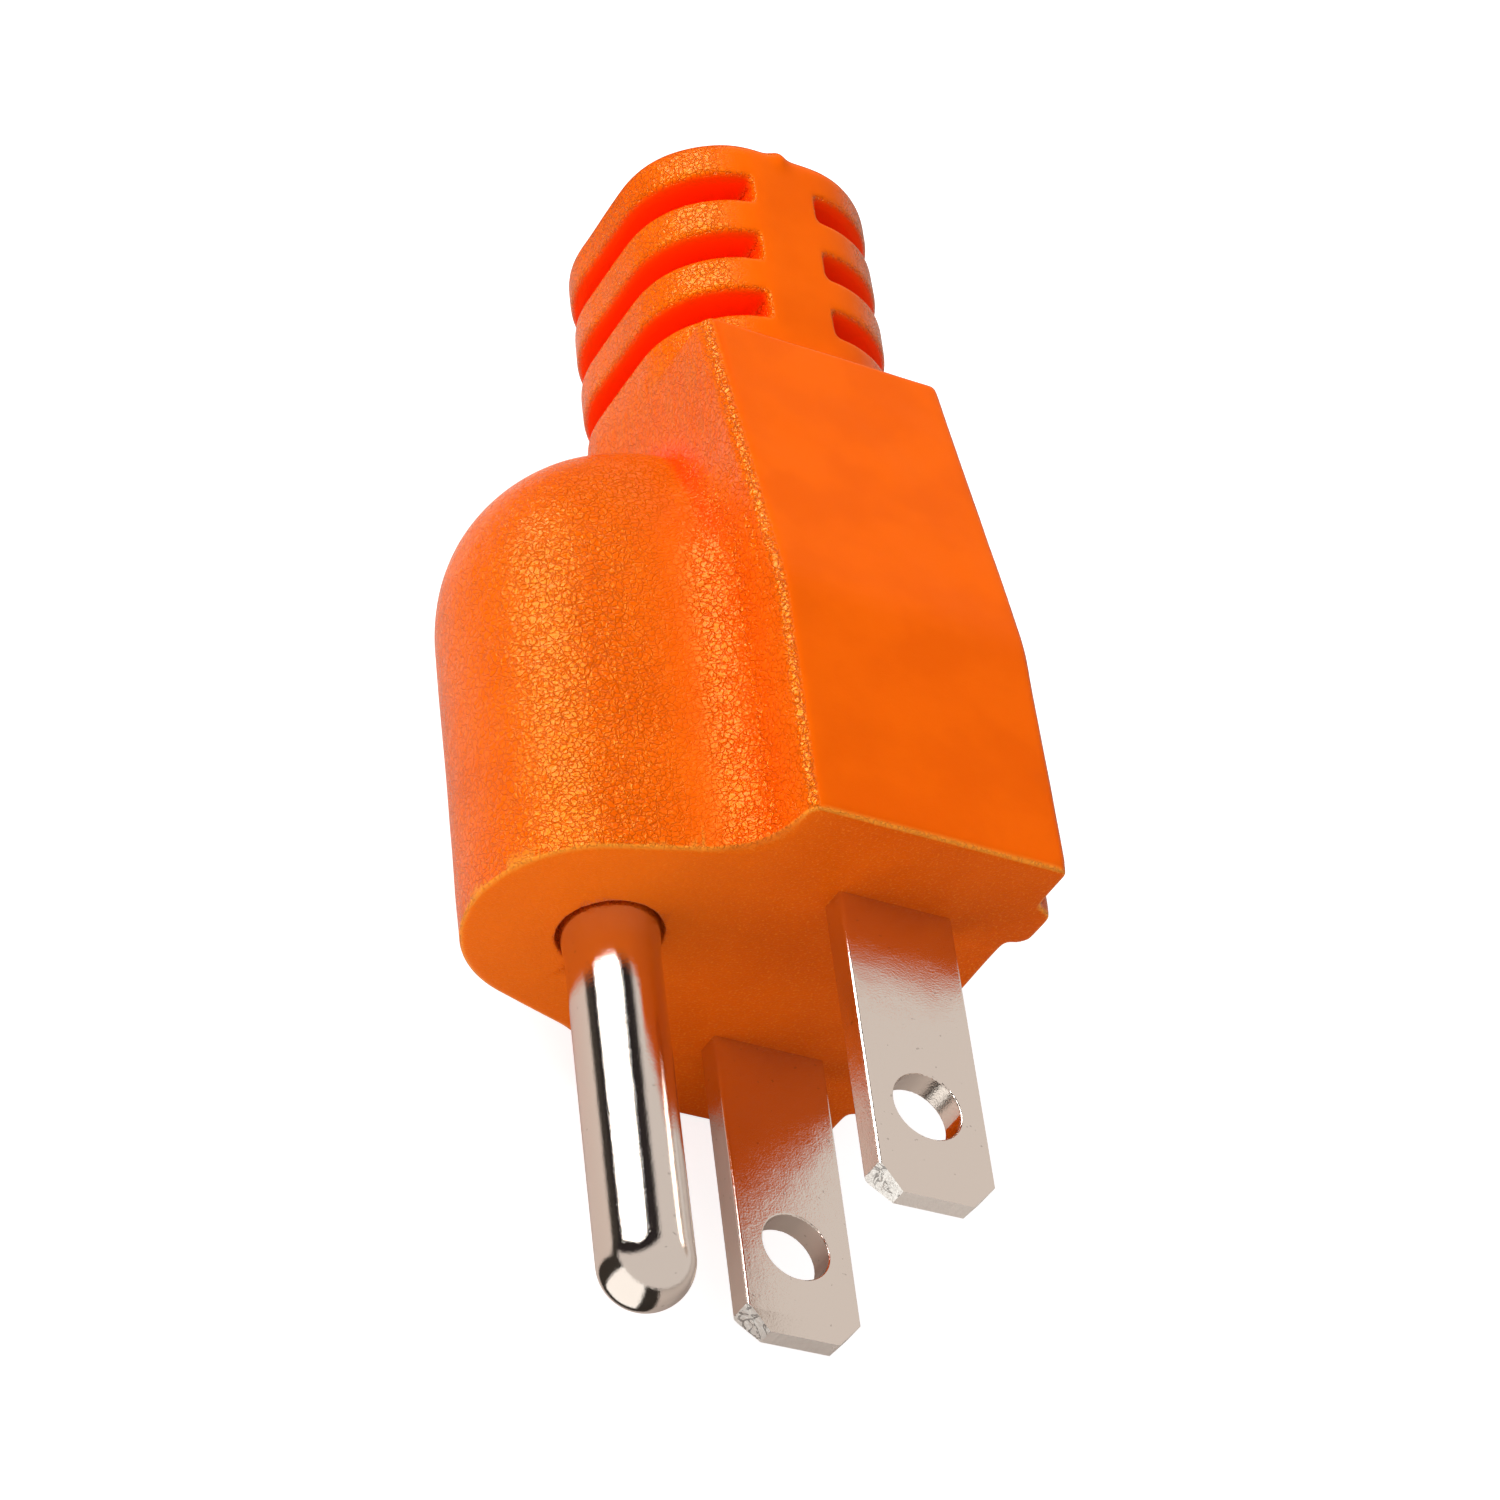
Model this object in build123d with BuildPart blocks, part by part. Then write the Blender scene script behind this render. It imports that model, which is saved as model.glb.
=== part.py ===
from build123d import *
import math
import os

os.makedirs("parts", exist_ok=True)

# The bonding plug lies on a flat side: prongs point to -Y, cord end to +Y, line blade on top.
# On a section plane local x runs up to the line blade, local y runs away from the ground pin.

# Blade layout of the 15 A, 125 V three-prong plug
blade_pitch = 12.7
blade_width = 6.35
blade_thickness = 1.52
blade_length = 17.0
blade_corner = 1.25
blade_edge = 0.15
tip_bevel_length = 1.0
tip_bevel_depth = 0.25
hole_diameter = 3.7
hole_distance = 11.9
hole_rim = 0.08
pin_distance = 12.0
pin_diameter = 4.7
pin_length = 21.2
pin_root_step = 0.2
pin_recess = 0.1
pin_recess_depth = 0.6

# Block of the moulded body
half_width = 12.4
half_width_top = 8.9
taper_start = 14.5
block_height = 35.8
pin_side = 7.7
blade_side = 6.8
pin_edge_radius = 0.8
blade_edge_radius = 0.4
waist_radius = 14.0
top_edge_radius = 0.6

# Hump over the ground pin
hump_radius = 6.6
hump_reach = 19.4
hump_half_root = 8.8
hump_root = 7.0
hump_blend = 2.6
dome_start = 18.4

# Neck with slotted strain relief
neck_half_width = 8.15
neck_half_depth = 7.4
neck_corner = 5.8
neck_root = 2.0
neck_top_radius = 1.6
slot_count = 3
collar_height = 2.5
slot_pitch = 4.4
slot_height = 1.5
slot_web = 3.9
ring_edge = 0.6
top_ring_height = 3.4
web_shift = 0.35
core_radius = 4.9

# Grip ribs on the side away from the ground pin
rib_width = 3.0
rib_height = 1.1
rib_centre = 7.85
rib_length = 27.0
rib_corner = 0.9

# Inner bridge that holds the prongs
bridge_start = 2.5
bridge_thickness = 5.5
bridge_half_width = 9.6
bridge_half_depth = 4.9
bridge_pin_radius = 4.4
bridge_corner = 1.2

# Prong tails and the jumper between neutral and ground
tail_width = 3.4
tail_reach = 4.5
barrel_length = 5.0
barrel_wall = 0.7
barrel_root = 1.0
notch_radius = 0.8
groove_depth = 0.5
groove_width = 1.6
conductor_diameter = 2.05
strip_length = 4.5
insulation_wall = 0.8
sleeve_gap = 0.6
wire_run = 1.5

blade_offset = blade_pitch / 2
pin_radius = pin_diameter / 2
pin_root_radius = pin_radius + pin_root_step
neck_centre = neck_half_depth - pin_side
neck_start = block_height - neck_root
slot_first = block_height + collar_height
last_slot_top = slot_first + (slot_count - 1) * slot_pitch + slot_height
neck_top = last_slot_top + top_ring_height
conductor_radius = conductor_diameter / 2
barrel_radius = conductor_radius + barrel_wall
insulation_radius = conductor_radius + insulation_wall
bridge_top = bridge_start + bridge_thickness
bridge_middle = bridge_start + bridge_thickness / 2
tail_top = bridge_top + tail_reach
barrel_top = tail_top + barrel_length
sleeve_start = barrel_top + sleeve_gap
bend_start = sleeve_start + wire_run
jumper_span = math.hypot(blade_offset, pin_distance)

face_plane = Plane(origin=(0, 0, 0), x_dir=(0, 0, 1), z_dir=(0, 1, 0))
jumper_plane = Plane(
    origin=(0, 0, -blade_offset),
    x_dir=(-pin_distance, 0, blade_offset),
    z_dir=(-blade_offset, 0, -pin_distance),
)


# A flat blade: chamfered and coined tip, hole, notches that lock it in the bridge, narrow tail
def make_blade(height):
    half = blade_width / 2
    with BuildPart() as blade:
        with BuildSketch(Plane.XY.offset(height)):
            with BuildLine():
                Polyline(
                    (-half + blade_corner, -blade_length),
                    (half - blade_corner, -blade_length),
                    (half, -blade_length + blade_corner),
                    (half, bridge_top),
                    (-half, bridge_top),
                    (-half, -blade_length + blade_corner),
                    close=True,
                )
            make_face()
            with Locations((0, bridge_top + tail_reach / 2)):
                Rectangle(tail_width, tail_reach)
            with Locations((0, -hole_distance)):
                Circle(hole_diameter / 2, mode=Mode.SUBTRACT)
            with Locations((-half, bridge_middle), (half, bridge_middle)):
                Circle(notch_radius, mode=Mode.SUBTRACT)
        extrude(amount=blade_thickness / 2, both=True)
        # Side view of the blade, thinner at the coined tip
        with BuildSketch(Plane.YZ):
            with BuildLine():
                Polyline(
                    (-blade_length, height + tip_bevel_depth - blade_thickness / 2),
                    (tip_bevel_length - blade_length, height - blade_thickness / 2),
                    (tail_top, height - blade_thickness / 2),
                    (tail_top, height + blade_thickness / 2),
                    (tip_bevel_length - blade_length, height + blade_thickness / 2),
                    (-blade_length, height + blade_thickness / 2 - tip_bevel_depth),
                    close=True,
                )
            make_face()
        extrude(amount=blade_width, both=True, mode=Mode.INTERSECT)
        rims = blade.edges().filter_by(GeomType.CIRCLE).filter_by(
            lambda e: abs(e.radius - hole_diameter / 2) < 0.01
        )
        fillet(rims, radius=hole_rim)
        sides = blade.edges().filter_by(Axis.Y).filter_by(
            lambda e: abs(abs(e.center().X) - half) < 0.01 and e.center().Y < 0
        )
        fillet(sides, radius=blade_edge)
    return blade.part


# A ring of the strain relief, with its outer edges rounded
def make_ring(low, high, low_edge, high_edge):
    with BuildPart() as ring:
        with BuildSketch(face_plane.offset(low)):
            with Locations((0, neck_centre)):
                RectangleRounded(2 * neck_half_width, 2 * neck_half_depth, neck_corner)
        extrude(amount=high - low)
        if low_edge > 0:
            fillet(ring.faces().sort_by(Axis.Y)[0].edges(), radius=low_edge)
        fillet(ring.faces().sort_by(Axis.Y)[-1].edges(), radius=high_edge)
    return ring.part


# Line blade: nothing is crimped to its tail
with BuildPart() as line_blade:
    add(make_blade(blade_offset))

# Neutral blade with a crimp barrel on the tail
with BuildPart() as neutral_blade:
    add(make_blade(-blade_offset))
    with BuildSketch(face_plane.offset(tail_top - barrel_root)):
        with Locations((-blade_offset, 0)):
            Circle(barrel_radius)
    extrude(amount=barrel_length + barrel_root)
    with BuildSketch(face_plane.offset(barrel_top)):
        with Locations((-blade_offset, 0)):
            Circle(conductor_radius)
    extrude(amount=-strip_length, mode=Mode.SUBTRACT)

# Ground pin: round nose, thicker root with a locking groove, crimp barrel
with BuildPart() as ground_pin:
    with BuildSketch(Plane.XY):
        with Locations((-pin_distance, 0)):
            with BuildLine():
                nose = CenterArc(
                    (-pin_distance, pin_radius - pin_length), pin_radius, -90, 90
                )
                Polyline(
                    nose @ 1,
                    (pin_radius - pin_distance, 0),
                    (pin_root_radius - pin_distance, 0),
                    (pin_root_radius - pin_distance, bridge_middle - groove_width / 2),
                    (pin_radius - groove_depth - pin_distance, bridge_middle - groove_width / 2),
                    (pin_radius - groove_depth - pin_distance, bridge_middle + groove_width / 2),
                    (pin_root_radius - pin_distance, bridge_middle + groove_width / 2),
                    (pin_root_radius - pin_distance, bridge_top),
                    (barrel_radius - pin_distance, bridge_top),
                    (barrel_radius - pin_distance, barrel_top),
                    (-pin_distance, barrel_top),
                    nose @ 0,
                )
            make_face()
    revolve(axis=Axis((-pin_distance, 0, 0), (0, 1, 0)))
    with BuildSketch(face_plane.offset(barrel_top)):
        with Locations((0, -pin_distance)):
            Circle(conductor_radius)
    extrude(amount=-strip_length, mode=Mode.SUBTRACT)

# Copper conductor of the jumper
with BuildPart() as bonding_wire:
    with BuildLine(jumper_plane) as wire_path:
        rise = Line((0, barrel_top - strip_length), (0, bend_start))
        bend = ThreePointArc(
            rise @ 1, (jumper_span / 2, bend_start + jumper_span / 2), (jumper_span, bend_start)
        )
        Line(bend @ 1, (jumper_span, barrel_top - strip_length))
    with BuildSketch(face_plane.offset(barrel_top - strip_length)):
        with Locations((-blade_offset, 0)):
            Circle(conductor_radius)
    sweep()

# Sleeve on the conductor between the two barrels
with BuildPart() as wire_insulation:
    with BuildLine(jumper_plane) as sleeve_path:
        rise = Line((0, sleeve_start), (0, bend_start))
        bend = ThreePointArc(
            rise @ 1, (jumper_span / 2, bend_start + jumper_span / 2), (jumper_span, bend_start)
        )
        Line(bend @ 1, (jumper_span, sleeve_start))
    with BuildSketch(face_plane.offset(sleeve_start)):
        with Locations((-blade_offset, 0)):
            Circle(insulation_radius)
            Circle(conductor_radius, mode=Mode.SUBTRACT)
    sweep()

# Hard bridge moulded round the three prongs
with BuildPart() as prong_bridge:
    with BuildSketch(face_plane.offset(bridge_start)):
        Rectangle(2 * bridge_half_width, 2 * bridge_half_depth)
        with Locations((0, -pin_distance)):
            Circle(bridge_pin_radius)
        with Locations((0, -pin_distance / 2)):
            Rectangle(2 * bridge_pin_radius, pin_distance)
        corners = vertices().filter_by(lambda v: abs(v.X) > bridge_half_width - 0.01)
        fillet(corners, radius=bridge_corner)
    extrude(amount=bridge_thickness)
    for prong in (line_blade, neutral_blade, ground_pin):
        add(prong.part, mode=Mode.SUBTRACT)

# The collar above the block, two rings, and the ring at the top of the neck
rings = [make_ring(neck_start, slot_first, 0, ring_edge)]
for index in range(1, slot_count):
    ring_top = slot_first + index * slot_pitch
    rings.append(make_ring(ring_top + slot_height - slot_pitch, ring_top, ring_edge, ring_edge))
rings.append(make_ring(last_slot_top, neck_top, ring_edge, neck_top_radius))

# Moulded body
with BuildPart() as moulded_body:
    # Block between the two flat sides, narrower towards the cord end
    with BuildSketch(Plane.YZ.offset(-pin_side)):
        with BuildLine():
            Polyline(
                (0, -half_width),
                (taper_start, -half_width),
                (block_height, -half_width_top),
                (block_height, half_width_top),
                (taper_start, half_width),
                (0, half_width),
                close=True,
            )
        make_face()
        waist = vertices().filter_by(lambda v: abs(v.X - taper_start) < 0.01)
        fillet(waist, radius=waist_radius)
        shoulders = vertices().filter_by(lambda v: abs(v.X - block_height) < 0.01)
        fillet(shoulders, radius=top_edge_radius)
    extrude(amount=pin_side + blade_side)
    pin_edges = moulded_body.faces().sort_by(Axis.X)[0].edges()
    fillet(pin_edges.filter_by(lambda e: e.center().Y > 1), radius=pin_edge_radius)
    blade_edges = moulded_body.faces().sort_by(Axis.X)[-1].edges()
    fillet(blade_edges.filter_by(lambda e: e.center().Y > 1), radius=blade_edge_radius)

    # Hump over the ground pin: straight below, turned over into a dome above
    with BuildSketch(face_plane.offset(dome_start)) as hump_section:
        with Locations((0, hump_radius - hump_reach)):
            Circle(hump_radius)
        with Locations((0, -hump_root - 0.005)):
            Rectangle(2 * hump_half_root, 0.01)
        make_hull()
    extrude(amount=-dome_start)
    dome_axis = Axis((-hump_root, dome_start, 0), (0, 0, -1))
    revolve(hump_section.sketch, axis=dome_axis, revolution_arc=90)
    root_edges = moulded_body.edges().filter_by_position(Axis.X, -pin_side - 0.01, -pin_side + 0.01)
    root_edges = root_edges.filter_by(lambda e: abs(e.center().Z) < hump_half_root)
    fillet(root_edges.filter_by(lambda e: 1 < e.center().Y < block_height - 2), radius=hump_blend)

    # Neck: core and webs, then the rings with open slots between them
    with BuildSketch(face_plane.offset(neck_start)):
        with Locations((0, neck_centre)):
            RectangleRounded(2 * neck_half_width, 2 * neck_half_depth, neck_corner)
        with BuildSketch(mode=Mode.INTERSECT):
            with Locations((0, neck_centre)):
                Circle(core_radius)
            with Locations((0, neck_centre - web_shift)):
                Rectangle(4 * neck_half_width, slot_web)
    extrude(amount=neck_top - neck_top_radius - neck_start)
    for ring in rings:
        add(ring)

    # Grip ribs
    with BuildSketch(face_plane):
        with Locations((-rib_centre, blade_side), (rib_centre, blade_side)):
            RectangleRounded(rib_width, 2 * rib_height, rib_corner)
    extrude(amount=rib_length)
    rib_ends = moulded_body.edges().filter_by_position(Axis.Y, rib_length - 0.01, rib_length + 0.01)
    fillet(rib_ends.filter_by(lambda e: e.center().X > blade_side), radius=rib_corner * 0.9)

    # Shallow recess where the ground pin leaves the face
    with BuildSketch(face_plane):
        with Locations((0, -pin_distance)):
            Circle(pin_root_radius + pin_recess)
    extrude(amount=pin_recess_depth, mode=Mode.SUBTRACT)

    # The pieces moulded in
    for piece in (prong_bridge, line_blade, neutral_blade, ground_pin, bonding_wire, wire_insulation):
        add(piece.part, mode=Mode.SUBTRACT)

moulded_body.part.label = "moulded_body"
export_step(moulded_body.part, "parts/moulded_body.step")
prong_bridge.part.label = "prong_bridge"
export_step(prong_bridge.part, "parts/prong_bridge.step")
ground_pin.part.label = "ground_pin"
export_step(ground_pin.part, "parts/ground_pin.step")
neutral_blade.part.label = "neutral_blade"
export_step(neutral_blade.part, "parts/neutral_blade.step")
line_blade.part.label = "line_blade"
export_step(line_blade.part, "parts/line_blade.step")
bonding_wire.part.label = "bonding_wire"
export_step(bonding_wire.part, "parts/bonding_wire.step")
wire_insulation.part.label = "wire_insulation"
export_step(wire_insulation.part, "parts/wire_insulation.step")
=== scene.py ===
import bpy, bmesh, math
import numpy as np
from mathutils import Vector, Matrix, noise
from mathutils.bvhtree import BVHTree


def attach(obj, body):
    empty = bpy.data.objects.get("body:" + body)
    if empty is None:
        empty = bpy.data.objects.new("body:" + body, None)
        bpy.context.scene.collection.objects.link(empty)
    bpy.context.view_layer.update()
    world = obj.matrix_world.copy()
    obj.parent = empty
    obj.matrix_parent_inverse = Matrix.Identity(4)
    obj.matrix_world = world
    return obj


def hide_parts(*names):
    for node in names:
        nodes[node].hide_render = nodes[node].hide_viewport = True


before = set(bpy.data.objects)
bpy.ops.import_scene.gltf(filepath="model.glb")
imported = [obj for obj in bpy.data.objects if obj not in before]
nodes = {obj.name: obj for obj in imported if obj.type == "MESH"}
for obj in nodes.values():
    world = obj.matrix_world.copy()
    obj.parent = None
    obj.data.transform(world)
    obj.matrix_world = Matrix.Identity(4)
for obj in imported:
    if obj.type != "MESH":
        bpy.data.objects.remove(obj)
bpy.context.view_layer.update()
scene = bpy.context.scene
scene.view_settings.view_transform = "Standard"

MM = 0.001

# Sizes of the solids that the drawn pieces follow, in millimetres
PIN_X = -12.0
PIN_R = 2.35
PIN_LENGTH = 21.2
PIN_ROOT_STEP = 0.20
PIN_TAIL_R = 1.725
PIN_TAIL_Y = 17.5
PIN_STEP_Y = 8.0
RECESS_R = 2.63
BLADE_Z = 6.35
BLADE_HALF_WIDTH = 3.175
BLADE_HALF_THICKNESS = 0.76
FLAT_Z = 12.4
BODY_LENGTH = 52.0
HUMP_X = -12.8
HUMP_R = 6.6
HUMP_FLANK = (0.952, 0.306)
DOME_X = -7.0
DOME_Y = 18.4
SHOULDER_X = -7.7
SIDE_Y = (0.0, 12.5, 16.5, 35.8)
SIDE_Z = (12.4, 12.2, 11.85, 8.9)

# Width of the hollow along the hump, and the most that the blend takes off there
HOLLOW_Y = (0.0, 19.5, 24.0, 26.0, 28.0, 31.0)
HOLLOW_WIDTH = (3.4, 3.4, 2.3, 1.2, 0.6, 0.45)
HOLLOW_SHARE = 0.25

# Marks of moulding and of the pin's root, in millimetres
WAVINESS = 0.035
RECESS_LIP = 0.05
BLADE_LIP = 0.09
FLASH = 0.25
PIN_FLARE = 0.16
PIN_FLARE_LENGTH = 1.9
MOST_TRIANGLES = 180000.0

# Colours of the moulding, linear; the pale sheen, lit face, rim highlight and shade red are painted
# light and shade
ORANGE_DARK = (0.725, 0.095, 0.0004, 1.0)
ORANGE_LIGHT = (0.775, 0.107, 0.0006, 1.0)
SHEEN_PALE_ORANGE = (0.66, 0.13, 0.012, 1.0)
SPECK_ORANGE = (0.92, 0.24, 0.03, 1.0)
LIT_FACE_ORANGE = (1.0, 0.19, 0.008, 1.0)
RIM_HIGHLIGHT_ORANGE = (1.0, 0.30, 0.03, 1.0)
SHADE_RED = (0.98, 0.046, 0.0003, 1.0)
SHEEN = (1.0, 0.84, 0.02, 1.0)

# Colours of the metal and of the pieces moulded in, linear
PIN_NICKEL = (0.76, 0.68, 0.62, 1.0)
BLADE_NICKEL = (0.79, 0.70, 0.63, 1.0)
TORN_NICKEL = (1.0, 0.97, 0.93, 1.0)
VEIN_DARK = (0.10, 0.08, 0.07, 1.0)
IVORY = (0.80, 0.78, 0.72)
COPPER = (0.85, 0.42, 0.28)
SLEEVE_WHITE = (0.82, 0.82, 0.80)

# Light: a softbox above the cord end, as its reflection in the pin shows
KEY = Vector((-0.576, 0.624, 0.526)).normalized()
KEY_DISTANCE = 0.5
KEY_SIZE = 0.36
KEY_POWER = 3.3
WHITE = (1.0, 1.0, 1.0, 1.0)
TENT_GREY = (0.78, 0.735, 0.70, 1.0)
FLAG_DARK = (0.03, 0.025, 0.025, 1.0)


# Camera of the photograph, solved on the three prongs
def make_camera():
    cam = bpy.data.cameras.new("camera")
    cam.sensor_width = 36.0
    cam.lens = 111.61
    cam.clip_start = 0.01
    cam.clip_end = 20.0
    obj = bpy.data.objects.new("camera", cam)
    scene.collection.objects.link(obj)
    right = Vector((0.87060, -0.10598, 0.48044))
    up = Vector((-0.23122, 0.77382, 0.58969))
    back = Vector((-0.43427, -0.62447, 0.64918))
    turn = Matrix((right, up, back)).transposed()
    obj.matrix_world = Matrix.Translation((-0.106034, -0.134531, 0.154831)) @ turn.to_4x4()
    scene.camera = obj


# Node helpers: the materials and the world are built from these
class Nodes:
    def __init__(self, owner, output):
        self.owner = owner
        owner.use_nodes = True
        self.tree = owner.node_tree
        self.tree.nodes.clear()
        self.out = self.tree.nodes.new("ShaderNode" + output)

    def node(self, kind, sockets=None, **settings):
        made = self.tree.nodes.new("ShaderNode" + kind)
        for key, value in settings.items():
            setattr(made, key, value)
        for key, value in (sockets or {}).items():
            self.put(made.inputs[key], value)
        return made

    def put(self, socket, value):
        if isinstance(value, bpy.types.NodeSocket):
            self.tree.links.new(value, socket)
        else:
            socket.default_value = value

    def math(self, operation, a, b=0.0, c=0.0):
        return self.node("Math", {0: a, 1: b, 2: c}, operation=operation).outputs[0]

    def times(self, a, b):
        return self.math("MULTIPLY", a, b)

    # a times b plus c
    def times_plus(self, a, b, c):
        return self.math("MULTIPLY_ADD", a, b, c)

    def vector(self, operation, a, b=(0.0, 0.0, 0.0)):
        made = self.node("VectorMath", {0: a, 1: b}, operation=operation)
        return made.outputs["Value" if operation in ("DOT_PRODUCT", "LENGTH") else "Vector"]

    def ramp(self, value, low, high, start=0.0, end=1.0, smooth=True):
        made = self.node("MapRange", {
            "Value": value, "From Min": low, "From Max": high, "To Min": start, "To Max": end,
        })
        made.interpolation_type = "SMOOTHSTEP" if smooth else "LINEAR"
        return made.outputs["Result"]

    def mix(self, factor, a, b):
        return self.node("Mix", {0: factor, 6: a, 7: b}, data_type="RGBA").outputs[2]

    def noise(self, vector, scale, detail=3.0, rough=0.5, twist=0.0):
        return self.node("TexNoise", {
            "Vector": vector, "Scale": scale, "Detail": detail, "Roughness": rough,
            "Distortion": twist,
        }).outputs[0]

    # The object's own coordinates in millimetres, stretched where asked
    def place(self, stretch=(1.0, 1.0, 1.0)):
        coord = self.node("TexCoord").outputs["Object"]
        scale = tuple(1000.0 * s for s in stretch)
        return self.node("Mapping", {"Vector": coord, "Scale": scale}).outputs["Vector"]

    def axes(self, vector):
        return self.node("SeparateXYZ", {"Vector": vector}).outputs

    def field(self, name):
        return self.node("Attribute", attribute_name=name).outputs["Fac"]

    def bump(self, height, distance, strength=1.0):
        sockets = {"Height": height, "Strength": strength, "Distance": distance}
        return self.node("Bump", sockets).outputs[0]

    def principled(self, color, rough, normal, **more):
        sockets = {"Base Color": color, "Roughness": rough, "Normal": normal, "IOR": 1.5}
        for key, value in more.items():
            sockets[key.replace("_", " ")] = value
        return self.node("BsdfPrincipled", sockets).outputs[0]

    def diffuse(self, color):
        return self.node("BsdfDiffuse", {"Color": color}).outputs[0]

    def emission(self, color, strength):
        return self.node("Emission", {"Color": color, "Strength": strength}).outputs[0]

    def add_shaders(self, a, b):
        return self.node("AddShader", {0: a, 1: b}).outputs[0]

    def mix_shaders(self, factor, a, b):
        return self.node("MixShader", {0: factor, 1: a, 2: b}).outputs[0]

    def surface(self, shader):
        self.tree.links.new(shader, self.out.inputs["Surface"])
        return self.owner


def new_material(name):
    return Nodes(bpy.data.materials.new(name), "OutputMaterial")


# Leather grain: small wormy plateaus with narrow grooves, about level with the bare skin
def leather(sh, spot):
    bend = sh.node("TexNoise", {"Vector": spot, "Scale": 2.2, "Detail": 2.0}).outputs["Color"]
    bent = sh.node("VectorMath", {0: bend, 1: (0.55, 0.55, 0.55), 2: spot}, operation="MULTIPLY_ADD")
    cells = sh.node(
        "TexVoronoi", {"Vector": bent.outputs[0], "Scale": 3.1, "Randomness": 1.0},
        feature="DISTANCE_TO_EDGE",
    )
    grooves = sh.ramp(cells.outputs["Distance"], 0.0, 0.11)
    pebble = sh.noise(spot, 2.6, detail=2.0, rough=0.6, twist=0.8)
    peel = sh.noise(spot, 0.9, detail=1.0)
    height = sh.times_plus(pebble, 1.1, sh.times(grooves, 0.65))
    height = sh.times_plus(peel, 1.2, height)
    return sh.math("SUBTRACT", height, 1.7)


# Orange PVC: the skin's fields say where it is grained, where shade is painted in red, where a pale
# sheen and a rim highlight are painted, and where the face is
def pvc_material():
    sh = new_material("orange_pvc")
    spot = sh.place()
    grain, painted_shade, streaks_and_sheen, face, rim_highlight = [sh.field(n) for n in ("grain", "painted_shade", "streaks_and_sheen", "face", "rim_highlight")]
    fine = sh.noise(spot, 13.0, detail=2.0)
    drawn = sh.noise(sh.place((1.3, 0.16, 1.3)), 2.0, rough=0.6)

    height = sh.times(leather(sh, spot), grain)
    streak = sh.math("SUBTRACT", drawn, 0.5)
    height = sh.times_plus(streak, sh.times(streaks_and_sheen, 0.6), height)
    height = sh.times_plus(fine, 0.06, height)
    bump = sh.bump(height, 0.082 * MM)

    tone = sh.ramp(sh.noise(spot, 0.22), 0.35, 0.65)
    color = sh.mix(tone, ORANGE_DARK, ORANGE_LIGHT)
    # Painted reflection: the shoulder is paler in streaks where it mirrors the bright floor
    painted_sheen = sh.times(streaks_and_sheen, sh.ramp(drawn, 0.40, 0.62, end=0.45))
    color = sh.mix(painted_sheen, color, SHEEN_PALE_ORANGE)
    specks = sh.ramp(sh.noise(spot, 7.0, rough=0.7), 0.54, 0.66, end=0.55)
    color = sh.mix(sh.times(face, specks), color, SPECK_ORANGE)
    # Painted light: the face is lighter towards the hump, where light from the front left falls
    painted_light_beside_hump = sh.ramp(sh.axes(spot)["X"], -3.0, -14.0, end=0.55)
    color = sh.mix(sh.times(face, painted_light_beside_hump), color, LIT_FACE_ORANGE)
    # Painted highlight: a light orange line along the rim of the face
    color = sh.mix(sh.times(rim_highlight, 0.9), color, RIM_HIGHLIGHT_ORANGE)
    # Painted shade: saturated red in the slots, the crease, the hollow and under the ring lips
    color = sh.mix(painted_shade, color, SHADE_RED)

    rough = sh.times_plus(sh.math("SUBTRACT", 1.0, grain), 0.27, 0.12)
    rough = sh.times_plus(fine, 0.06, rough)
    shine = sh.times(grain, sh.times_plus(streaks_and_sheen, -0.8, 1.0))
    shine = sh.times_plus(shine, 0.33, 0.03)
    return sh.surface(sh.principled(
        color, rough, bump,
        Specular_IOR_Level=shine, Specular_Tint=SHEEN,
        Subsurface_Weight=0.08, Subsurface_Radius=(1.0, 0.2, 0.04), Subsurface_Scale=0.6 * MM,
    ))


# Nickel plate with faint stipple, drawn lines along the prong and a few dark specks
def nickel_material(name, color, rough, stipple, sheared=False):
    sh = new_material(name)
    spot = sh.place()
    fine = sh.noise(spot, 9.0, rough=0.65)
    broad = sh.noise(spot, 0.45, detail=2.0)
    lines = sh.noise(sh.place((3.0, 0.05, 3.0)), 1.5, detail=2.0)
    height = sh.times_plus(fine, stipple, sh.times(broad, 3.0 * stipple))
    height = sh.times_plus(lines, 0.3 * stipple, height)
    specks = sh.ramp(sh.noise(spot, 3.3, detail=1.0), 0.74, 0.78)
    speck_color = tuple(0.35 * c for c in color[:3]) + (1.0,)
    base = sh.mix(sh.times(specks, 0.4), color, speck_color)
    rough = sh.times_plus(broad, 0.08, rough - 0.04)
    if sheared:
        height, base, rough = sheared_tip(sh, spot, height, base, rough)
    bump = sh.bump(height, 0.05 * MM)
    return sh.surface(sh.principled(base, rough, bump, Metallic=1.0))


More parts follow.
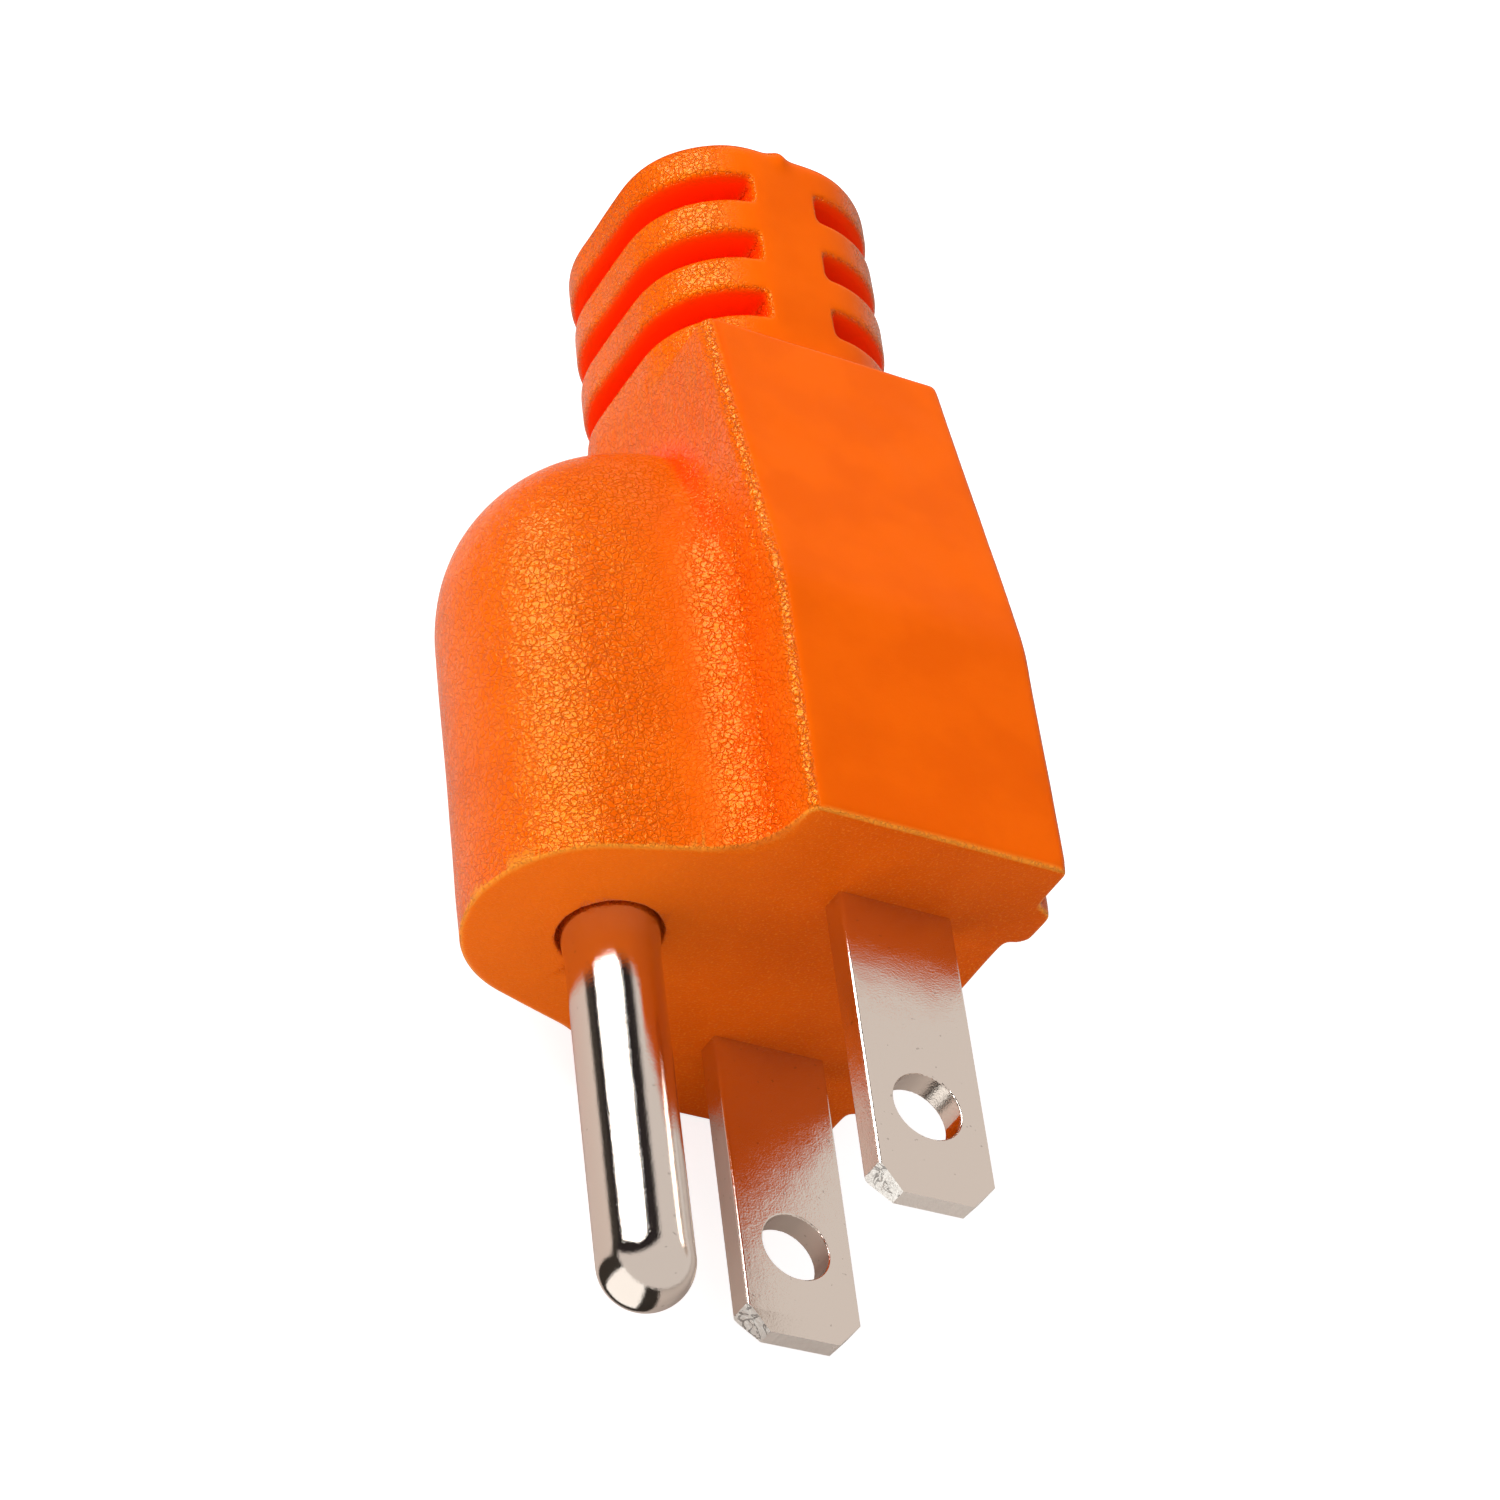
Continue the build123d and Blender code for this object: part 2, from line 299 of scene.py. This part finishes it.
# Sheared metal at a blade's tip: rough end face, torn and veined corners
def sheared_tip(sh, spot, height, base, rough):
    way = sh.axes(sh.node("NewGeometry").outputs["True Normal"])
    tip = sh.ramp(way["Y"], -0.35, -0.55)
    tip = sh.times(tip, sh.ramp(sh.axes(spot)["Y"], -15.4, -15.6))
    corner = sh.times(tip, sh.ramp(sh.math("ABSOLUTE", way["X"]), 0.35, 0.55))
    torn = sh.noise(spot, 1.6, rough=0.6, twist=0.8)
    height = sh.times_plus(torn, sh.times(corner, 2.2), height)
    scored = sh.noise(sh.place((4.0, 1.0, 1.0)), 1.2)
    height = sh.times_plus(scored, sh.times(tip, 0.8), height)
    vein = sh.times_plus(sh.noise(spot, 1.1, detail=2.0, twist=1.0), 2.0, -1.0)
    vein = sh.times(corner, sh.ramp(sh.math("ABSOLUTE", vein), 0.06, 0.02))
    base = sh.mix(tip, base, TORN_NICKEL)
    base = sh.mix(sh.times(vein, 0.65), base, VEIN_DARK)
    rough = sh.times_plus(tip, 0.2, rough)
    rough = sh.times_plus(corner, 0.2, rough)
    return height, base, rough


# The pieces moulded in, which no view shows
def plain_material(name, color, rough, metal=0.0):
    sh = new_material(name)
    fine = sh.noise(sh.place(), 4.0)
    bump = sh.bump(fine, 0.03 * MM, strength=0.3)
    shade = sh.mix(fine, tuple(0.9 * c for c in color) + (1.0,), tuple(color) + (1.0,))
    return sh.surface(sh.principled(shade, rough, bump, Metallic=metal))


def dress(obj, mat):
    obj.data.materials.clear()
    obj.data.materials.append(mat)
    return obj


def new_object(name, mesh):
    obj = bpy.data.objects.new(name, mesh)
    scene.collection.objects.link(obj)
    return obj


def mesh_from(name, bm):
    mesh = bpy.data.meshes.new(name)
    bm.to_mesh(mesh)
    bm.free()
    return mesh


# Outer skin of the moulding, in mm: the CAD body without the faces that touch other pieces
def outer_skin():
    trees = []
    for name, node in nodes.items():
        if name != "moulded_body":
            other = bmesh.new()
            other.from_mesh(node.data)
            other.transform(node.matrix_world)
            trees.append(BVHTree.FromBMesh(other))
            other.free()

    def touches(point):
        return any(tree.find_nearest(point, 0.03 * MM)[0] is not None for tree in trees)

    source = nodes["moulded_body"]
    bm = bmesh.new()
    bm.from_mesh(source.data)
    bm.transform(source.matrix_world)
    bmesh.ops.remove_doubles(bm, verts=bm.verts, dist=0.002 * MM)
    inner_verts = {v for v in bm.verts if v.co.y > -0.01 * MM and touches(v.co)}
    inner = [
        f for f in bm.faces
        if all(v in inner_verts for v in f.verts) and touches(f.calc_center_median())
    ]
    bmesh.ops.delete(bm, geom=inner, context="FACES")
    bm.edges.ensure_lookup_table()
    rims = [e for e in bm.edges if len(e.link_faces) == 1]
    bmesh.ops.holes_fill(bm, edges=rims, sides=0)
    bmesh.ops.triangulate(bm, faces=bm.faces)
    bm.transform(Matrix.Scale(1.0 / MM, 4))
    return mesh_from("body_skin", bm)


def applied(obj):
    depsgraph = bpy.context.evaluated_depsgraph_get()
    mesh = bpy.data.meshes.new_from_object(obj.evaluated_get(depsgraph))
    obj.modifiers.clear()
    obj.data = mesh
    return mesh


def soft_step(value, low, high):
    t = np.clip((value - low) / (high - low), 0.0, 1.0)
    return t * t * (3.0 - 2.0 * t)


def bell(value, centre, width):
    return np.exp(-((value - centre) / width) ** 2)


def read_points(mesh):
    co = np.empty(3 * len(mesh.vertices))
    mesh.vertices.foreach_get("co", co)
    normal = np.empty(3 * len(mesh.vertices))
    mesh.vertex_normals.foreach_get("vector", normal)
    return co.reshape(-1, 3), normal.reshape(-1, 3)


def write_points(mesh, co):
    mesh.vertices.foreach_set("co", co.ravel())
    mesh.update()


# Distance from the hump over the ground pin, which ends in a dome past DOME_Y
def hump_distance(x, y, z):
    bent = DOME_X - np.hypot(x - DOME_X, y - DOME_Y)
    x = np.where((y > DOME_Y) & (x < DOME_X), bent, x)
    side, depth = np.abs(z), HUMP_X - x
    out, down = HUMP_FLANK
    on_flank = np.arctan2(side, depth) > math.atan2(out, down)
    return np.where(on_flank, out * side + down * depth, np.hypot(side, depth)) - HUMP_R


# Hollow between hump and shoulder: wide beside the hump, drawn in to a crease over the dome
def hollow(x, y, z):
    width = np.interp(y, HOLLOW_Y, HOLLOW_WIDTH)
    shoulder = SHOULDER_X - x
    hump = hump_distance(x, y, z)
    near = np.maximum(width - np.abs(shoulder - hump), 0.0) / width
    return np.minimum(shoulder, hump) - HOLLOW_SHARE * width * near * near


def half_width(y):
    return np.interp(y, SIDE_Y, SIDE_Z)


# Evenly meshed skin, with its corners a little softened
def remeshed(obj):
    remesh = obj.modifiers.new("remesh", "REMESH")
    remesh.mode = "VOXEL"
    remesh.voxel_size = 0.15
    smooth = obj.modifiers.new("smooth", "SMOOTH")
    smooth.factor = 0.5
    smooth.iterations = 6
    return applied(obj)


# Round the rim of the prong face, away from the prongs
def round_rim(obj, mesh):
    x, y, z = read_points(mesh)[0].T
    from_pin = np.hypot(x - PIN_X, z) - 3.4
    from_blades = np.maximum(np.abs(x) - 3.9, np.abs(np.abs(z) - BLADE_Z) - 1.5)
    from_prongs = np.minimum(from_pin, from_blades)
    weight = soft_step(0.9 - y, 0.0, 0.4) * soft_step(from_prongs, 0.0, 0.3)
    group = obj.vertex_groups.new(name="softened")
    for index in np.nonzero(weight > 0.02)[0]:
        group.add([int(index)], float(weight[index]), "REPLACE")
    smooth = obj.modifiers.new("softened", "SMOOTH")
    smooth.factor = 0.5
    smooth.iterations = 16
    smooth.vertex_group = "softened"
    return applied(obj)


# Draw the skin on to the hollow beside the hump by three Newton steps
def draw_hollow(mesh):
    co, normal = read_points(mesh)
    x, y, z = co.T
    beside = soft_step(-x, 7.45, 7.62) * soft_step(half_width(y) - np.abs(z), 0.7, 1.2)
    beside = beside * soft_step(-y, -34.5, -33.0) * soft_step(normal[:, 1], -0.75, -0.45)
    beside = beside * (np.abs(hollow(x, y, z)) < 1.5)
    nudge = 0.01
    for _ in range(3):
        here = hollow(*co.T)
        slope = [hollow(*(co + d).T) - here for d in np.eye(3) * nudge]
        slope = np.stack(slope, axis=1) / nudge
        length = np.maximum((slope ** 2).sum(axis=1), 0.25)
        co = co - slope * (beside * here / length)[:, None]
    write_points(mesh, co)


# Uneven moulding, lips round the recess and the blades, flash where the parting line ends
def add_moulding_marks(mesh):
    co, normal = read_points(mesh)
    x, y, z = co.T
    lift = np.array([noise.noise(Vector(p) * 0.30) for p in co]) * WAVINESS
    at_face = soft_step(-normal[:, 1], 0.6, 0.9) * (y < 0.5)
    from_recess = np.hypot(x - PIN_X, z) - RECESS_R
    lift += RECESS_LIP * at_face * bell(from_recess, 0.15, 0.12)
    for side in (-BLADE_Z, BLADE_Z):
        across = np.maximum(np.abs(x) - BLADE_HALF_WIDTH, 0.0)
        from_blade = np.hypot(across, np.maximum(np.abs(z - side) - BLADE_HALF_THICKNESS, 0.0))
        lift += BLADE_LIP * at_face * bell(from_blade, 0.0, 0.22)
    lift += FLASH * bell(x, -0.6, 0.5) * bell(y, 51.2, 0.8) * (np.abs(z) > 5.0)
    co = co + normal * lift[:, None]
    co[:, 2] = np.clip(co[:, 2], -FLAT_Z, FLAT_Z)
    co[:, 1] = np.clip(co[:, 1], 0.0, BODY_LENGTH)
    write_points(mesh, co * MM)


def thinned(obj, mesh):
    triangles = sum(len(f.vertices) - 2 for f in mesh.polygons)
    fewer = obj.modifiers.new("fewer", "DECIMATE")
    fewer.ratio = min(1.0, MOST_TRIANGLES / triangles)
    return applied(obj)


# How grained each point of the finished skin is, how much painted shade, painted pale sheen and
# painted rim highlight it takes, and whether it is face
def add_fields(mesh):
    co, normal = read_points(mesh)
    x, y, z = (co / MM).T
    nx, ny, nz = normal.T
    flat = soft_step(np.abs(nz), 0.80, 0.98) * soft_step(np.abs(z), 6.5, 8.1)
    end_face = soft_step(-ny, 0.7, 0.95)
    slot_wall = soft_step(np.abs(ny), 0.5, 0.8) * (y > 35.0)
    crest = soft_step(np.abs(nz), 0.3, 0.5) * soft_step(-nx, 0.25, 0.45)
    crest = crest * (x > -8.3) * (x < -6.5) * (y < 36.0)
    grain = np.clip(1.0 - 0.96 * flat - 0.85 * end_face - 0.8 * slot_wall, 0.03, 1.0)

    # Painted shade: red inside the slots, in the crease over the dome, along the hollow and under
    # the ring lips
    in_corner = np.hypot(np.maximum(np.abs(z) - 2.35, 0.0), np.maximum(np.abs(x + 0.3) - 1.6, 0.0))
    slot_shade = soft_step(5.8 - in_corner, 0.08, 0.6) * (y > 37.5) * (y < 50.0)
    from_hump = hump_distance(x, y, z)
    crease_shade = soft_step(1.3 - np.abs(x + 7.9), 0.0, 0.7) * bell(from_hump, 0.0, 0.8)
    crease_shade = crease_shade * soft_step(y, 18.5, 22.0)
    valley_shade = bell(SHOULDER_X - x + from_hump, 1.2, 1.3) * (x < -7.6) * soft_step(-y, -25.0, -19.0)
    under_shade = soft_step(-ny, 0.3, 0.7) * (y > 37.0)
    painted_shade = np.clip(slot_shade + 0.8 * crease_shade + 0.45 * valley_shade + 0.7 * under_shade, 0.0, 1.0)

    # Painted reflection: a pale sheen on the shoulder, which also carries real streaks in the bump
    streaks_and_sheen = soft_step(-nx, 0.85, 0.97) * soft_step(y, 24.0, 29.0) * (y < 36.5)
    # Painted highlight: a light line along the rim of the prong face
    rim_highlight = soft_step(0.45 - y, 0.0, 0.3) * soft_step(-ny, 0.12, 0.4) * soft_step(ny, -0.97, -0.85)
    fields = {
        "grain": grain + 0.6 * crest,
        "painted_shade": painted_shade * (1.0 - end_face * (y < 1.0)),
        "streaks_and_sheen": streaks_and_sheen * (x > -8.0) * (x < -7.0) * (1.0 - crease_shade),
        "face": end_face * (y < 0.5),
        "rim_highlight": rim_highlight * (np.hypot(x - PIN_X, z) > 3.2),
    }
    for name, values in fields.items():
        mesh.attributes.new(name, "FLOAT", "POINT").data.foreach_set("value", values)


def make_body():
    obj = new_object("body_skin", outer_skin())
    mesh = round_rim(obj, remeshed(obj))
    draw_hollow(mesh)
    add_moulding_marks(mesh)
    mesh = thinned(obj, mesh)
    add_fields(mesh)
    for face in mesh.polygons:
        face.use_smooth = True
    dress(obj, pvc_material())
    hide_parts("moulded_body")
    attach(obj, "root")


# Half outline of the ground pin in mm, from its tail to its nose, as radius and y
def pin_profile():
    root = PIN_R + PIN_ROOT_STEP
    profile = [(0.0, PIN_TAIL_Y), (PIN_TAIL_R, PIN_TAIL_Y), (PIN_TAIL_R, PIN_STEP_Y)]
    profile += [(root, PIN_STEP_Y), (root, 0.3)]
    for step in range(9):
        rise = 1.0 - step / 8.0
        profile.append((PIN_R + PIN_FLARE * rise ** 1.6, 0.05 - PIN_FLARE_LENGTH * (1.0 - rise)))
    shank_start, nose_start = 0.05 - PIN_FLARE_LENGTH, PIN_R - PIN_LENGTH
    for step in range(1, 41):
        profile.append((PIN_R, shank_start + step / 40.0 * (nose_start - shank_start)))
    for step in range(1, 25):
        angle = math.radians(90.0 * step / 24.0)
        profile.append((PIN_R * math.cos(angle), nose_start - PIN_R * math.sin(angle)))
    return profile


# Ground pin turned from one profile: step and flare at the root, straight shank, round nose
def make_pin(mat):
    sides = 128
    bm = bmesh.new()
    rings = []
    for radius, y in pin_profile():
        if radius < 1e-4:
            rings.append([bm.verts.new((PIN_X * MM, y * MM, 0.0))])
            continue
        ring = []
        for k in range(sides):
            a = 2.0 * math.pi * k / sides
            x, z = PIN_X + radius * math.cos(a), radius * math.sin(a)
            ring.append(bm.verts.new((x * MM, y * MM, z * MM)))
        rings.append(ring)
    for low, high in zip(rings, rings[1:]):
        for k in range(sides):
            n = (k + 1) % sides
            if len(low) == 1:
                bm.faces.new((low[0], high[n], high[k]))
            elif len(high) == 1:
                bm.faces.new((low[k], low[n], high[0]))
            else:
                bm.faces.new((low[k], low[n], high[n], high[k]))
    bmesh.ops.recalc_face_normals(bm, faces=bm.faces)
    for face in bm.faces:
        face.smooth = True
    obj = dress(new_object("pin_shank", mesh_from("pin_shank", bm)), mat)
    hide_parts("ground_pin")
    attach(obj, "root")


# Floor that shows white to the camera and keeps the plug's shadow. For metal it is grey, with
# a lit patch to the front left, a dark band before it and a dark stretch far to the left
def make_floor():
    bm = bmesh.new()
    bmesh.ops.create_grid(bm, x_segments=1, y_segments=1, size=3.0)
    floor = new_object("floor", mesh_from("floor", bm))
    floor.location.z = -(FLAT_Z + 0.02) * MM
    sh = new_material("floor_white")
    path = sh.node("LightPath").outputs
    seen = sh.add_shaders(sh.diffuse((0.60, 0.60, 0.60, 1.0)), sh.emission(WHITE, 0.76))

    spot = sh.node("TexCoord").outputs["Object"]
    from_apex = sh.vector("NORMALIZE", sh.vector("SUBTRACT", spot, (-0.008, -0.016, 0.0)))
    turn = sh.vector("DOT_PRODUCT", from_apex, (-0.610, -0.792, 0.0))
    ahead = sh.vector("DOT_PRODUCT", spot, (-0.545, -0.839, 0.0))
    lit = sh.times(sh.ramp(turn, 0.84, 0.88), sh.ramp(ahead, 0.0247, 0.0253))
    band = sh.times(sh.ramp(turn, 0.45, 0.52), sh.ramp(ahead, 0.0205, 0.0212))
    from_body = sh.vector("SUBTRACT", spot, (-0.008, 0.010, 0.0))
    left = sh.vector("DOT_PRODUCT", sh.vector("NORMALIZE", from_body), (-0.8, 0.6, 0.0))
    far = sh.ramp(sh.vector("LENGTH", from_body), 0.042, 0.060)
    far_left = sh.times(far, sh.ramp(left, 0.0, 0.3))
    dark = sh.math("MAXIMUM", band, far_left)
    grey = sh.mix(dark, (0.64, 0.57, 0.52, 1.0), (0.04, 0.035, 0.03, 1.0))
    mirrored = sh.mix_shaders(lit, sh.diffuse(grey), sh.emission((1.0, 0.99, 0.96, 1.0), 1.3))

    bounce = sh.emission((1.0, 0.97, 0.93, 1.0), sh.times(lit, 1.5))
    soft = sh.add_shaders(sh.diffuse((0.80, 0.80, 0.80, 1.0)), bounce)
    plain = sh.mix_shaders(path["Is Camera Ray"], soft, seen)
    floor.data.materials.append(sh.surface(
        sh.mix_shaders(path["Is Glossy Ray"], plain, mirrored)
    ))


def make_key_light():
    lamp = bpy.data.lights.new("key", "AREA")
    lamp.shape = "SQUARE"
    lamp.size = KEY_SIZE
    lamp.energy = KEY_POWER
    obj = bpy.data.objects.new("key", lamp)
    scene.collection.objects.link(obj)
    obj.location = Vector((0.0, 0.015, 0.0)) + KEY * KEY_DISTANCE
    obj.rotation_euler = KEY.to_track_quat("Z", "Y").to_euler()


# World: white to the camera, soft ambient, and for metal a grey tent with dark flags round the key
def make_world():
    world = bpy.data.worlds.new("studio")
    scene.world = world
    sh = Nodes(world, "OutputWorld")

    def sky(color, strength):
        return sh.node("Background", {"Color": color, "Strength": strength}).outputs[0]

    way = sh.node("TexCoord").outputs["Generated"]
    path = sh.node("LightPath").outputs
    flag = sh.ramp(sh.vector("DOT_PRODUCT", way, tuple(KEY)), 0.66, 0.74)
    tent = sh.mix(flag, TENT_GREY, FLAG_DARK)
    front = sh.vector("DOT_PRODUCT", way, (-0.55, -0.75, 0.37))
    level = sh.ramp(front, -1.0, 1.0, 0.32, 0.74, smooth=False)
    unseen = sh.mix_shaders(path["Is Glossy Ray"], sky(WHITE, level), sky(tent, 1.0))
    sh.surface(sh.mix_shaders(path["Is Camera Ray"], unseen, sky(WHITE, 1.0)))


make_camera()
make_body()
make_pin(nickel_material("pin_nickel", PIN_NICKEL, 0.06, 0.13))
blade_mat = nickel_material("blade_nickel", BLADE_NICKEL, 0.085, 0.24, sheared=True)
for blade in ("line_blade", "neutral_blade"):
    dress(nodes[blade], blade_mat)
dress(nodes["prong_bridge"], plain_material("ivory_nylon", IVORY, 0.4))
dress(nodes["bonding_wire"], plain_material("bare_copper", COPPER, 0.3, metal=1.0))
dress(nodes["wire_insulation"], plain_material("white_sleeve", SLEEVE_WHITE, 0.45))
make_floor()
make_key_light()
make_world()
